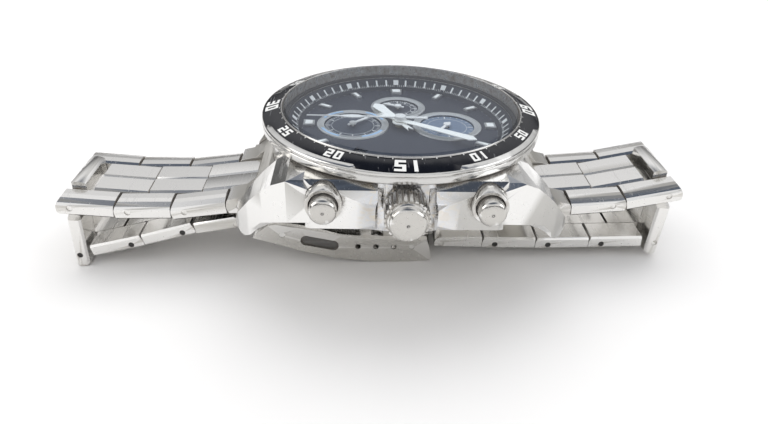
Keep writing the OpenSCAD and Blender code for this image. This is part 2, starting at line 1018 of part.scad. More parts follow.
module clasp_inner_blade() {
  color(steel)
    difference() {
      union() {
        along_y(-3.5, 3.5)
          union() {
            translate(hinge_d)
              circle(r = 0.95);
            polygon([
              hinge_d + [-0.7, -0.1], hinge_d + [0.6, 0.75], [-5.6, -5.7], [-6.7, -5.4],
              [-7.1, -6.2], [-6.1, -6.5]
            ]);
          }
        along_y(-7, 7)
          polygon([
            [-5.7, -6.1], [-5.4, -5.7], [-13, -4.5], [-19.5, -3.8], [-21.6, -3.8],
            [-21.6, -4.6], [-19.5, -4.6], [-13, -5.3]
          ]);
        along_y(-half_c + 0.1, half_c - 0.1)
          union() {
            translate(hinge_e)
              circle(r = 1.15);
            polygon([
              hinge_e + [0, 1.1], hinge_e + [0, -1.1], [-22.2, -4.95], [-21.4, -4.6], [-21.4, -3.8]
            ]);
          }
      }
      rod_y(hinge_d[0], hinge_d[1], clasp_pin_r + run, -20, 20);
      rod_y(hinge_e[0], hinge_e[1], bore_r, -20, 20);
    }
}

module slot_shape(r) {
  dir = slot_b - slot_a;
  nrm = 0.97 * r * [-dir[1], dir[0]] / norm(dir);
  translate(slot_a)
    circle(r = r);
  translate(slot_b)
    circle(r = r);
  polygon([slot_a - nrm, slot_b - nrm, slot_b + nrm, slot_a + nrm]);
}

module button(side) {
  inner = cover_w / 2 - cover_t - 0.2;
  outer = cover_w / 2 - button_recess;
  color(steel)
    mirror([0, side > 0 ? 0 : 1, 0])
      difference() {
        along_y(inner, outer)
          slot_shape(slot_r - 0.06);
        translate([(slot_a[0] + slot_b[0]) / 2, outer + 0.55, (slot_a[1] + slot_b[1]) / 2])
          rotate([30, 0, 0])
            cube([8, 1, 1], center = true);
      }
}

module button_near() {
  button(-1);
}

module button_far() {
  button(1);
}

module link_6_1() { link(slopes_6, 0, -1); }
module link_6_2() { link(slopes_6, 1, -1); }
module link_6_3() { link(slopes_6, 2, -1); }
module link_6_4() { link(slopes_6, 3, -1); }
module link_6_5() { link(slopes_6, 4, -1); }
module link_6_6() { link(slopes_6, 5, -1); }
module link_6_7() { link(slopes_6, 6, -1, short_end); }
module link_12_1() { link(slopes_12, 0, 1); }
module link_12_2() { link(slopes_12, 1, 1); }
module link_12_3() { link(slopes_12, 2, 1); }
module link_12_4() { link(slopes_12, 3, 1); }
module link_12_5() { link(slopes_12, 4, 1); }
module link_12_6() { link(slopes_12, 5, 1); }
module link_12_7() { link(slopes_12, 6, 1, short_end); }

mid_case();
case_tubes();
bezel_ring();
bezel_insert();
crystal();
crystal_gasket();
chapter_ring();
dial();
hour_markers();
counter_rings();
movement_holder();
main_plate();
circuit_board();
battery();
motor_coils();
case_back();
case_back_gasket();
end_links();
lug_spring_bars();
minute_hand();
cannon_pinion();
hour_hand();
hour_wheel();
minute_wheel();
hand_24_hour();
stopwatch_hand();
small_seconds_hand();
counter_hand();
crown();
winding_stem();
crown_gasket();
pusher_start();
pusher_reset();
spring_start();
spring_reset();
clasp_cover();
cover_pins();
clasp_tongue();
clasp_outer_blade();
clasp_inner_blade();
button_near();
button_far();
link_6_1();
link_6_2();
link_6_3();
link_6_4();
link_6_5();
link_6_6();
link_6_7();
link_12_1();
link_12_2();
link_12_3();
link_12_4();
link_12_5();
link_12_6();
link_12_7();
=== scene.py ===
import json
import math

import bpy
import bmesh
from mathutils import Matrix, Vector


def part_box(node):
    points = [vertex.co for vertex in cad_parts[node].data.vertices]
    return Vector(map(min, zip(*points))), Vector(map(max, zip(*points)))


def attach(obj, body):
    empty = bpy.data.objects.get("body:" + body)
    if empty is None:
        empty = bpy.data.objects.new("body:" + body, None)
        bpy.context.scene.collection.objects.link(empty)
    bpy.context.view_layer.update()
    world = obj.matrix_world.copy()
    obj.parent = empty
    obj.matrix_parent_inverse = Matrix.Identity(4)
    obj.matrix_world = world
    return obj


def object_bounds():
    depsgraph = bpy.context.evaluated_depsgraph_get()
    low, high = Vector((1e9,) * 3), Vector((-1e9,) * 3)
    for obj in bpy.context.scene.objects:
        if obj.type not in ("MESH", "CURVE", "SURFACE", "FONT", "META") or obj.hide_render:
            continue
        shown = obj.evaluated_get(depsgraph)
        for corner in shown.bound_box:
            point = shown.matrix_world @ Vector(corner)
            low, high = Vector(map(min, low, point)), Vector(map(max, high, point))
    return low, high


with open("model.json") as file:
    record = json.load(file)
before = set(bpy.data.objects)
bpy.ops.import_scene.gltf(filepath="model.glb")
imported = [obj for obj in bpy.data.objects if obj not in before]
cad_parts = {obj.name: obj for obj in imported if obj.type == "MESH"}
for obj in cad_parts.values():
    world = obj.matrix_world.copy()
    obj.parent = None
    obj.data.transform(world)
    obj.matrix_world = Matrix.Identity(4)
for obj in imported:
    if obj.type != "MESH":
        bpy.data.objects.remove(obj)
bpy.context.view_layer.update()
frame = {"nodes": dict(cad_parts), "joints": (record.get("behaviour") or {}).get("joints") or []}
MM = 0.001
nodes = frame["nodes"]
joints = {j["name"]: j for j in frame["joints"]}

# ---------------------------------------------------------------- node helpers


class Graph:
    """A material's node tree with short calls for the nodes used here."""

    def __init__(self, name):
        self.mat = bpy.data.materials.new(name)
        self.mat.use_nodes = True
        self.t = self.mat.node_tree
        self.t.nodes.clear()
        self.out = self.t.nodes.new("ShaderNodeOutputMaterial")
        self.coord = self.t.nodes.new("ShaderNodeTexCoord").outputs["Object"]
        self.geo = self.t.nodes.new("ShaderNodeNewGeometry")

    def add(self, kind, **props):
        n = self.t.nodes.new(kind)
        for k, v in props.items():
            setattr(n, k, v)
        return n

    def put(self, socket, value):
        if isinstance(value, bpy.types.NodeSocket):
            self.t.links.new(value, socket)
        elif isinstance(value, (tuple, list)) and len(value) == 3 and socket.type == "RGBA":
            socket.default_value = (*value, 1)
        else:
            socket.default_value = value

    def mapped(self, scale):
        """Object coordinates in millimetres times scale."""
        m = self.add("ShaderNodeMapping")
        self.put(m.inputs["Vector"], self.coord)
        m.inputs["Scale"].default_value = [s / MM for s in scale]
        return m.outputs[0]

    def noise(self, scale=(1, 1, 1), detail=4.0, rough=0.55, distort=0.0):
        n = self.add("ShaderNodeTexNoise")
        self.put(n.inputs["Vector"], self.mapped(scale))
        n.inputs["Scale"].default_value = 1.0
        n.inputs["Detail"].default_value = detail
        n.inputs["Roughness"].default_value = rough
        n.inputs["Distortion"].default_value = distort
        return n.outputs["Fac"]

    def ramp(self, fac, *stops):
        r = self.add("ShaderNodeValToRGB")
        self.put(r.inputs[0], fac)
        e = r.color_ramp.elements
        for i, (pos, val) in enumerate(stops):
            col = (val, val, val, 1) if isinstance(val, (int, float)) else (*val, 1)
            if i < 2:
                e[i].position, e[i].color = pos, col
            else:
                e.new(pos).color = col
        return r.outputs[0]

    def mix(self, fac, a, b):
        m = self.add("ShaderNodeMix", data_type="RGBA")
        self.put(m.inputs[0], fac)
        self.put(m.inputs[6], a)
        self.put(m.inputs[7], b)
        return m.outputs[2]

    def math(self, op, a, b=0.0, clamp=False):
        m = self.add("ShaderNodeMath", operation=op, use_clamp=clamp)
        self.put(m.inputs[0], a)
        self.put(m.inputs[1], b)
        return m.outputs[0]

    def part(self, axis, of="Position"):
        s = self.add("ShaderNodeSeparateXYZ")
        self.put(s.inputs[0], self.coord if of == "Object" else self.geo.outputs[of])
        return s.outputs[axis]

    def bump(self, height, strength, dist=0.02, normal=None):
        b = self.add("ShaderNodeBump")
        b.inputs["Strength"].default_value = strength
        b.inputs["Distance"].default_value = dist * MM
        self.put(b.inputs["Height"], height)
        if normal is not None:
            self.put(b.inputs["Normal"], normal)
        return b.outputs[0]

    def scratches(self, density=2.0, rare=0.66, seed=0.0):
        """Separate fine hairlines in three directions, 1 on a line and 0 elsewhere."""
        total = None
        for k, turn in enumerate((0.35, 1.45, 2.5)):
            m = self.add("ShaderNodeMapping")
            self.put(m.inputs["Vector"], self.coord)
            m.inputs["Rotation"].default_value = (turn * 0.35, turn * 0.3, turn + seed)
            m.inputs["Scale"].default_value = [density / MM, density * 0.03 / MM, density * 0.8 / MM]
            m.inputs["Location"].default_value = (seed + k, 3.1 * k, 0)
            n = self.add("ShaderNodeTexNoise")
            self.put(n.inputs["Vector"], m.outputs[0])
            n.inputs["Scale"].default_value = 1.0
            n.inputs["Detail"].default_value = 1.0
            line = self.ramp(n.outputs["Fac"], (rare, 0.0), (rare + 0.03, 1.0))
            total = line if total is None else self.math("MAXIMUM", total, line)
        return total

    def edge(self, low=0.52, high=0.6):
        return self.ramp(self.geo.outputs["Pointiness"], (low, 0.0), (high, 1.0))

    # Ambient occlusion mask, 1 in crevices and gaps: the materials use it for grime and for painted shade there.
    def crevice_shade(self, dist=0.8, low=0.35, high=0.9):
        ao = self.add("ShaderNodeAmbientOcclusion", samples=6)
        ao.inputs["Distance"].default_value = dist * MM
        return self.ramp(ao.outputs["AO"], (low, 1.0), (high, 0.0))

    def surface(self, base, metallic, rough, normal=None, **extra):
        p = self.add("ShaderNodeBsdfPrincipled")
        self.put(p.inputs["Base Color"], base)
        self.put(p.inputs["Metallic"], metallic)
        self.put(p.inputs["Roughness"], rough)
        if normal is not None:
            self.put(p.inputs["Normal"], normal)
        for k, v in extra.items():
            self.put(p.inputs[k.replace("_", " ")], v)
        self.t.links.new(p.outputs[0], self.out.inputs[0])
        return p


# Brown for grime. Mixed in by the crevice mask, it is also painted shade in crevices and between parts.
GRIME_AND_SHADE_TONE = (0.13, 0.085, 0.045)


def polished(name, tone=(0.57, 0.562, 0.54), rough=0.1, grime_and_shade=0.6, stain=False):
    """Polished steel with hairline scratches, hazy patches, painted highlights on its edges, and grime with
    painted shade in its corners.
    """
    g = Graph(name)
    haze = g.noise((0.35, 0.35, 0.35), 5)
    fine = g.noise((14, 14, 14), 3)
    lines = g.scratches(2.6, 0.68, 0.3)
    base = g.mix(haze, tone, tuple(c * 0.9 for c in tone))
    # painted highlight: convex edges lightened towards near-white
    base = g.mix(g.edge(), base, (0.86, 0.855, 0.84))
    if stain:
        patch = g.noise((0.5, 0.5, 0.9), 4, 0.6, 1.2)
        film = g.ramp(
            patch, (0.36, (0.55, 0.44, 0.3)), (0.46, (0.62, 0.63, 0.66)), (0.54, (0.45, 0.52, 0.66)),
            (0.64, (0.66, 0.55, 0.38)),
        )
        px = g.math("ABSOLUTE", g.part(0, "Object"))
        near = g.ramp(g.math("MULTIPLY", px, 1 / (12 * MM)), (0.36, 1.0), (0.66, 0.0))
        side = g.ramp(g.math("MULTIPLY", g.part(1, "Object"), -1 / (25 * MM)), (0.73, 0.0), (0.78, 1.0))
        base = g.mix(g.math("MULTIPLY", g.math("MULTIPLY", near, side), 0.3), base, film)
    # grime and painted shade: crevices darkened towards brown, with less metal and more roughness
    grime_shade_mask = g.math("MULTIPLY", g.crevice_shade(), g.ramp(g.noise((1.3,) * 3, 5), (0.35, 0.25), (0.7, 1.0)))
    grime_shade_mask = g.math("MULTIPLY", grime_shade_mask, grime_and_shade)
    base = g.mix(grime_shade_mask, base, GRIME_AND_SHADE_TONE)
    r = g.math("ADD", rough, g.math("MULTIPLY", haze, 0.1))
    r = g.math("ADD", r, g.math("MULTIPLY", lines, 0.12))
    r = g.math("ADD", r, g.math("MULTIPLY", grime_shade_mask, 0.5), clamp=True)
    metal = g.math("SUBTRACT", 1.0, g.math("MULTIPLY", grime_shade_mask, 0.9))
    n = g.bump(lines, 0.03, 0.004)
    n = g.bump(fine, 0.012, 0.004, n)
    g.surface(base, metal, r, n)
    return g.mat


# The wear factor scales the real scuffs and also the painted highlight on the bevels.
def brushed(name, direction, tone=(0.5, 0.487, 0.455), rough=0.3, grime_and_shade=0.75, wear=1.0):
    """Satin steel: streaks along direction, polished bevels with a painted highlight, scuffs, and grime with
    painted shade between the pieces.
    """
    g = Graph(name)
    stretch = [14.0, 14.0, 14.0]
    stretch["xyz".index(direction)] = 0.25
    streak = g.noise(stretch, 3, 0.7)
    coarse = [2.2, 2.2, 2.2]
    coarse["xyz".index(direction)] = 0.12
    band = g.noise(coarse, 2, 0.5)
    cloud = g.noise((0.25, 0.25, 0.25), 4)
    lines = g.scratches(2.6, 0.7, 1.9)
    base = g.mix(streak, tone, tuple(min(1, c * 1.12) for c in tone))
    base = g.mix(g.math("MULTIPLY", band, 0.4), base, tuple(c * 0.88 for c in tone))
    base = g.mix(g.math("MULTIPLY", cloud, 0.3 * wear), base, (0.58, 0.54, 0.47))
    # painted highlight: bevels lightened towards near-white, scaled by the wear factor; their lower roughness is
    # the real polished bevel
    edge = g.math("MULTIPLY", g.edge(0.515, 0.57), wear)
    base = g.mix(edge, base, (0.8, 0.79, 0.77))
    # grime and painted shade: gaps between the pieces darkened towards brown
    grime_shade_mask = g.math("MULTIPLY", g.crevice_shade(0.6, 0.25, 0.8), g.ramp(g.noise((1.1,) * 3, 5), (0.3, 0.3), (0.65, 1.0)))
    grime_shade_mask = g.math("MULTIPLY", grime_shade_mask, grime_and_shade)
    base = g.mix(grime_shade_mask, base, GRIME_AND_SHADE_TONE)
    r = g.math("ADD", rough, g.math("MULTIPLY", streak, 0.16))
    r = g.math("SUBTRACT", r, g.math("MULTIPLY", edge, 0.2))
    r = g.math("ADD", r, g.math("MULTIPLY", lines, 0.12))
    r = g.math("ADD", r, g.math("MULTIPLY", grime_shade_mask, 0.4), clamp=True)
    n = g.bump(streak, 0.07, 0.01)
    n = g.bump(lines, 0.05, 0.006, n)
    g.surface(base, g.math("SUBTRACT", 1.0, g.math("MULTIPLY", grime_shade_mask, 0.85)), r, n)
    return g.mat


def gloss_black(name):
    g = Graph(name)
    haze = g.noise((0.5,) * 3, 4)
    lines = g.scratches(2.4, 0.72, 0.9)
    wear = g.math("MULTIPLY", g.edge(0.56, 0.64), g.ramp(g.noise((1.4,) * 3, 5), (0.55, 0.0), (0.66, 1.0)))
    nick = g.ramp(g.noise((2.4, 2.4, 2.4), 6, 0.7), (0.76, 0.0), (0.78, 1.0))
    mark = g.math("MAXIMUM", g.math("MULTIPLY", lines, 0.5), g.math("MAXIMUM", wear, nick))
    base = g.mix(haze, (0.003, 0.0035, 0.006), (0.008, 0.009, 0.014))
    base = g.mix(g.math("MULTIPLY", mark, 0.4), base, (0.4, 0.4, 0.42))
    r = g.math("ADD", 0.1, g.math("MULTIPLY", haze, 0.12))
    r = g.math("ADD", r, g.math("MULTIPLY", mark, 0.4), clamp=True)
    g.surface(base, 0.0, r, g.bump(mark, 0.1, 0.006), Specular_IOR_Level=0.28)
    return g.mat


def dial_face(name, centre, base_a, base_b, rings=0.0):
    """Dark lacquer with a faint sunburst, and fine turned grooves where rings is above 0."""
    g = Graph(name)
    off = g.add("ShaderNodeVectorMath", operation="SUBTRACT")
    g.put(off.inputs[0], g.coord)
    off.inputs[1].default_value = centre
    sep = g.add("ShaderNodeSeparateXYZ")
    g.put(sep.inputs[0], off.outputs[0])
    angle = g.math("ARCTAN2", sep.outputs[1], sep.outputs[0])
    rays = g.add("ShaderNodeTexNoise", noise_dimensions="1D")
    g.put(rays.inputs["W"], g.math("MULTIPLY", angle, 40.0))
    rays.inputs["Scale"].default_value = 1.0
    base = g.mix(rays.outputs["Fac"], base_a, base_b)
    speck = g.ramp(g.noise((9, 9, 9), 3), (0.7, 0.0), (0.76, 1.0))
    base = g.mix(g.math("MULTIPLY", speck, 0.25), base, (0.3, 0.32, 0.36))
    height = rays.outputs["Fac"]
    if rings:
        length = g.add("ShaderNodeVectorMath", operation="LENGTH")
        g.put(length.inputs[0], off.outputs[0])
        groove = g.math("SINE", g.math("MULTIPLY", length.outputs["Value"], rings / MM))
        height = g.math("ADD", height, groove)
    g.surface(base, 0.35, 0.38, g.bump(height, 0.3, 0.012))
    return g.mat


def painted(name, tone, rough=0.45, painted_glow=0.0):
    g = Graph(name)
    cloud = g.noise((1.2,) * 3, 4)
    grain = g.noise((18,) * 3, 2)
    base = g.mix(cloud, tone, tuple(c * 0.86 for c in tone))
    # grime and painted shade: crevices darkened towards brown
    grime_shade_mask = g.math("MULTIPLY", g.crevice_shade(0.3, 0.3, 0.8), 0.35)
    base = g.mix(grime_shade_mask, base, (0.2, 0.17, 0.12))
    r = g.math("ADD", rough, g.math("MULTIPLY", grain, 0.15))
    # painted glow: emission in the paint's own tone
    extra = {"Emission_Color": tone, "Emission_Strength": painted_glow} if painted_glow else {}
    g.surface(base, 0.0, r, g.bump(grain, 0.15, 0.01), **extra)
    return g.mat


def glass(name):
    """Clear mineral glass: what is behind shows through, with a Fresnel reflection and faint smudges."""
    g = Graph(name)
    smudge = g.noise((0.12, 0.16, 0.12), 4, 0.6, 0.8)
    lines = g.scratches(2.4, 0.72, 2.4)
    clear = g.add("ShaderNodeBsdfTransparent")
    g.put(clear.inputs[0], g.mix(smudge, (0.95, 0.965, 0.98), (0.91, 0.93, 0.95)))
    shine = g.add("ShaderNodeBsdfGlossy")
    g.put(shine.inputs["Color"], (0.9, 0.93, 1.0))
    rough = g.math("ADD", 0.03, g.math("MULTIPLY", smudge, 0.05))
    g.put(shine.inputs["Roughness"], g.math("ADD", rough, g.math("MULTIPLY", lines, 0.2)))
    fres = g.add("ShaderNodeFresnel")
    fres.inputs["IOR"].default_value = 1.42
    outside = g.math("SUBTRACT", 1.0, g.geo.outputs["Backfacing"])
    fac = g.math("MULTIPLY", fres.outputs[0], outside, clamp=True)
    m = g.add("ShaderNodeMixShader")
    g.put(m.inputs[0], fac)
    g.t.links.new(clear.outputs[0], m.inputs[1])
    g.t.links.new(shine.outputs[0], m.inputs[2])
    g.t.links.new(m.outputs[0], g.out.inputs[0])
    return g.mat


def rubbery(name):
    g = Graph(name)
    grain = g.noise((7,) * 3, 4)
    base = g.mix(grain, (0.015, 0.015, 0.016), (0.05, 0.047, 0.043))
    g.surface(base, 0.0, g.math("ADD", 0.55, g.math("MULTIPLY", grain, 0.25)), g.bump(grain, 0.3, 0.02))
    return g.mat


# The crevice darkening set for each material below is grime together with painted shade.
POLISHED = polished("steel_polished")
CASE = polished("steel_case", stain=True, grime_and_shade=0.75)
BEZEL = polished("steel_bezel", tone=(0.66, 0.655, 0.64), rough=0.07, grime_and_shade=0.9)
SILVER = polished("steel_silvered", tone=(0.72, 0.73, 0.72), rough=0.32, grime_and_shade=0.1)
CROWN = polished("steel_crown", tone=(0.62, 0.605, 0.575), rough=0.14, grime_and_shade=0.95)
BRUSH_X = brushed("steel_brushed_x", "x")
BRUSH_Z = brushed("steel_brushed_z", "z")
BRUSH_Y = brushed("steel_brushed_y", "y", tone=(0.5, 0.49, 0.47))
# painted shade: a darker copy of the brushed steel, with stronger crevice darkening, for the upright folded
# links; the brushing along z is real
FOLD_SHADED = brushed("steel_fold_shaded", "z", tone=(0.48, 0.465, 0.43), rough=0.3, grime_and_shade=1.0)
# painted shade: near-black steel for the latch buttons, which sit in shade in their slots; the edge highlight is
# mostly off
LATCH_SHADED = brushed("steel_latch_shaded", "x", tone=(0.1, 0.098, 0.095), rough=0.45, grime_and_shade=1.0, wear=0.1)
CLASP = brushed("steel_clasp", "x", tone=(0.55, 0.54, 0.515), rough=0.22, grime_and_shade=0.5)
INSERT = gloss_black("bezel_black")
WHITE = painted("marking_white", (0.9, 0.9, 0.88))
# lume and blue print carry a small painted glow (emission) on top of their paint colour
LUME = painted("lume_white", (0.92, 0.93, 0.9), 0.35, 0.12)
BLUE = painted("accent_blue", (0.42, 0.62, 0.86), 0.4, 0.05)
GLASS = glass("crystal_glass")
RUBBER = rubbery("gasket_rubber")
BRASS = polished("plate_brass", tone=(0.72, 0.58, 0.33), rough=0.25, grime_and_shade=0.3)
COPPER = brushed("coil_copper", "y", tone=(0.62, 0.28, 0.13), rough=0.35)
BOARD = painted("board_green", (0.05, 0.2, 0.1), 0.4)
HOLDER = painted("holder_plastic", (0.82, 0.82, 0.78), 0.5)
CHAPTER = dial_face("chapter_black", (0, 0, 0), (0.012, 0.014, 0.02), (0.03, 0.035, 0.05))
DIAL = dial_face("dial_black", (0, 0, 0), (0.014, 0.018, 0.03), (0.045, 0.055, 0.085))

looks = {
    "mid_case": CASE, "case_tubes": CROWN, "bezel_ring": BEZEL, "bezel_insert": INSERT,
    "crystal": GLASS, "crystal_gasket": RUBBER, "chapter_ring": CHAPTER, "dial": DIAL,
    "hour_markers": SILVER, "counter_rings": SILVER, "movement_holder": HOLDER,
    "main_plate": BRASS, "circuit_board": BOARD, "battery": POLISHED, "motor_coils": COPPER,
    "case_back": BRUSH_Y, "case_back_gasket": RUBBER, "end_links": BRUSH_X,
    "lug_spring_bars": POLISHED, "minute_hand": LUME, "cannon_pinion": BRASS,
    "hour_hand": LUME, "hour_wheel": BRASS, "minute_wheel": BRASS, "hand_24_hour": WHITE,
    "stopwatch_hand": WHITE, "small_seconds_hand": WHITE, "counter_hand": WHITE,
    "crown": CROWN, "winding_stem": POLISHED, "crown_gasket": RUBBER,
    "pusher_start": CROWN, "pusher_reset": CROWN, "spring_start": POLISHED,
    "spring_reset": POLISHED, "clasp_cover": CLASP, "cover_pins": POLISHED,
    "clasp_tongue": BRUSH_X, "clasp_outer_blade": POLISHED, "clasp_inner_blade": POLISHED,
    "button_near": LATCH_SHADED, "button_far": LATCH_SHADED,
}
for name in nodes:
    if name.startswith("link_"):
        lo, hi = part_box(name)
        # upright links take the darker painted-shade copy
        looks[name] = FOLD_SHADED if (hi.z - lo.z) > (hi.x - lo.x) else BRUSH_X

SOFT_EDGE = {
    "mid_case": 0.45, "bezel_ring": 0.06, "crown": 0.07, "pusher_start": 0.08,
    "pusher_reset": 0.08, "case_tubes": 0.08, "clasp_cover": 0.14, "end_links": 0.14,
    "crystal": 0.05, "bezel_insert": 0.03, "clasp_tongue": 0.15, "clasp_inner_blade": 0.1,
    "clasp_outer_blade": 0.1, "case_back": 0.08, "hour_markers": 0.05, "minute_hand": 0.03,
    "hour_hand": 0.03,
}


def soften(obj, width, segments=2, angle=28, clamp=True):
    """Rounds the sharp edges of a CAD mesh so that they catch the light."""
    weld = obj.modifiers.new("weld", "WELD")
    weld.merge_threshold = 1e-6
    bevel = obj.modifiers.new("edge", "BEVEL")
    bevel.width = width * MM
    bevel.segments = segments
    bevel.limit_method = "ANGLE"
    bevel.angle_limit = math.radians(angle)
    bevel.harden_normals = True
    bevel.use_clamp_overlap = clamp


for name, obj in nodes.items():
    obj.data.materials.clear()
    obj.data.materials.append(looks[name])
    width = 0.13 if name.startswith("link_") else SOFT_EDGE.get(name)
    if name == "mid_case":
        soften(obj, width, 3, 11)
    elif width:
        soften(obj, width)

# ---------------------------------------------------------------- printed and applied detail

ins_lo, ins_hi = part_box("bezel_insert")
bez_lo, bez_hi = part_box("bezel_ring")
cry_lo, cry_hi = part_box("crystal")
ins_r = ins_hi.x
bezel_r = bez_hi.x
glass_r = cry_hi.x
inner_r = glass_r + 0.4 * MM
slope = (ins_hi.z - (ins_lo.z + 0.33 * MM)) / (ins_r - inner_r)


def cone_z(r):
    return ins_hi.z - slope * (r - inner_r)


def add_mesh(name, bm, mat, body="case"):
    bmesh.ops.recalc_face_normals(bm, faces=bm.faces)
    me = bpy.data.meshes.new(name)
    bm.to_mesh(me)
    bm.free()
    obj = bpy.data.objects.new(name, me)
    bpy.context.scene.collection.objects.link(obj)
    obj.data.materials.append(mat)
    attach(obj, body)
    return obj


def slab(bm, corners, place, lift, steps=1):
    """A thin closed plate: corners (u, v) are mapped by place(u, v, height)."""
    (u0, v0), (u1, v1) = corners
    rows = []
    for h in (0.0, lift):
        grid = []
        for j in range(2):
            v = v1 if j else v0
            grid.append([bm.verts.new(place(u0 + (u1 - u0) * i / steps, v, h)) for i in range(steps + 1)])
        rows.append(grid)
    low, high = rows
    for i in range(steps):
        bm.faces.new((high[0][i], high[0][i + 1], high[1][i + 1], high[1][i]))
        bm.faces.new((low[0][i], low[1][i], low[1][i + 1], low[0][i + 1]))
        bm.faces.new((low[0][i], low[0][i + 1], high[0][i + 1], high[0][i]))
        bm.faces.new((low[1][i + 1], low[1][i], high[1][i], high[1][i + 1]))
    bm.faces.new((low[0][0], high[0][0], high[1][0], low[1][0]))
    bm.faces.new((low[0][-1], low[1][-1], high[1][-1], high[0][-1]))


# squared digits as bars on a 3 by 5 grid: (column0, row0, column1, row1)
GLYPHS = {
    "0": [(0, 0, 1, 5), (2, 0, 3, 5), (1, 4, 2, 5), (1, 0, 2, 1)],
    "1": [(1, 0, 2, 5)],
    "2": [(0, 4, 3, 5), (2, 2, 3, 4), (0, 2, 2, 3), (0, 1, 1, 2), (0, 0, 3, 1)],
    "3": [(0, 4, 2, 5), (0, 2, 2, 3), (0, 0, 2, 1), (2, 0, 3, 5)],
    "4": [(0, 2, 1, 5), (1, 2, 2, 3), (2, 0, 3, 5)],
    "5": [(0, 4, 3, 5), (0, 3, 1, 4), (0, 2, 3, 3), (2, 1, 3, 2), (0, 0, 3, 1)],
    "6": [(0, 0, 1, 5), (1, 4, 3, 5), (1, 2, 3, 3), (1, 0, 3, 1), (2, 1, 3, 2)],
}


def numeral(bm, text, angle, r_mid, height, width, flip, lift):
    """Two squared digits on the bezel's cone, centred at angle (clockwise from 12)."""
    cell_w = width / (len(text) * 3 + 1)
    cell_h = height / 5
    for k, ch in enumerate(text):
        for c0, w0, c1, w1 in GLYPHS[ch]:
            u0, u1 = (k * 4 + c0) * cell_w - width / 2, (k * 4 + c1) * cell_w - width / 2
            v0, v1 = w0 * cell_h - height / 2, w1 * cell_h - height / 2

            def place(u, v, h):
                s = -1 if flip else 1
                r = r_mid + s * v
                a = angle + s * u / r_mid
                return (r * math.cos(a), -r * math.sin(a), cone_z(r) + 0.004 * MM + h)

            slab(bm, ((u0, v0), (u1, v1)), place, lift, 3)


bm = bmesh.new()
for k in range(12):
    value = 60 if k == 0 else k * 5
    card = value % 15 == 0
    inside = 20 <= value <= 40
    r_mid = (inner_r + (ins_r if card else ins_r - 0.7 * MM)) / 2
    numeral(bm, f"{value:02d}", math.radians(value * 6), r_mid,
            (1.95 if card else 1.4) * MM, (3.5 if card else 2.5) * MM, inside, 0.02 * MM)
add_mesh("bezel_numerals", bm, WHITE)

bm = bmesh.new()
for m in range(60):
    if m % 5 == 0:
        continue
    a0 = math.radians(m * 6)

    def place(u, v, h, a0=a0):
        a = a0 + u / inner_r
        return (v * math.cos(a), -v * math.sin(a), cone_z(v) + 0.004 * MM + h)

    slab(bm, ((-0.06 * MM, inner_r + 0.02 * MM), (0.06 * MM, inner_r + 0.22 * MM)), place, 0.02 * MM)
add_mesh("bezel_minute_ticks", bm, WHITE)

# minute track on the sloping chapter ring
ch_lo, ch_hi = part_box("chapter_ring")
dial_lo, dial_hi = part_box("dial")
TRACK = ((15.62 * MM, dial_hi.z + 0.4 * MM), (16.66 * MM, ch_hi.z - 0.14 * MM))


def on_track(a0):
    (r0, z0), (r1, z1) = TRACK
    run = Vector((r1 - r0, z1 - z0)).normalized()

    def place(u, v, h):
        r = r0 + (r1 - r0) * v - run.y * (h + 0.01 * MM)
        z = z0 + (z1 - z0) * v + run.x * (h + 0.01 * MM)
        a = a0 + u / r0
        return (r * math.cos(a), -r * math.sin(a), z)

    return place


bm = bmesh.new()
for m in range(300):
    place = on_track(math.radians(m * 1.2))
    if m % 25 == 0:
        slab(bm, ((-0.42 * MM, 0.3), (0.42 * MM, 0.92)), place, 0.05 * MM)
    elif m % 5 == 0:
        slab(bm, ((-0.14 * MM, 0.12), (0.14 * MM, 0.92)), place, 0.03 * MM)
    elif m % 5 in (1, 2, 3, 4):
        slab(bm, ((-0.03 * MM, 0.05), (0.03 * MM, 0.3)), place, 0.02 * MM)
add_mesh("chapter_minute_track", bm, WHITE)

# lume in the applied markers
bm = bmesh.new()


def flat_bar(bm, a0, r0, r1, w0, w1, z, lift, cx=0.0, cy=0.0):
    ca, sa = math.cos(a0), -math.sin(a0)

    def place(u, v, h):
        w = (w0 + (w1 - w0) * v) * u
        r = r0 + (r1 - r0) * v
        return (cx + r * ca - w * sa, cy + r * sa + w * ca, z + h)

    slab(bm, ((-0.5, 0.0), (0.5, 1.0)), place, lift)


mk_lo, mk_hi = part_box("hour_markers")
for k in range(12):
    a = math.radians(30 * k)
    top = mk_hi.z - 0.07 * MM
    if k in (0, 6, 9):
        flat_bar(bm, a, 13.5 * MM, 14.6 * MM, 1.25 * MM, 1.4 * MM, top, 0.12 * MM)
    elif k != 3:
        flat_bar(bm, a, 12.9 * MM, 14.5 * MM, 0.46 * MM, 0.5 * MM, top, 0.12 * MM)
add_mesh("marker_lume", bm, LUME)

# dial track: a small bar at each minute between the hours
bm = bmesh.new()
for k in range(60):
    a = math.radians(6 * k)
    if k % 5:
        flat_bar(bm, a, 15.0 * MM, 15.45 * MM, 0.09 * MM, 0.09 * MM, dial_hi.z + 0.004 * MM, 0.015 * MM)
add_mesh("dial_track", bm, WHITE)

# counters: floors, scales and accents
counters = {
    "six": (joints["small_seconds_turn"]["pos_m"], 4.4, 60),
    "twelve": (joints["hand_24_turn"]["pos_m"], 4.2, 24),
    "nine": (joints["counter_turn"]["pos_m"], 3.3, 60),
}


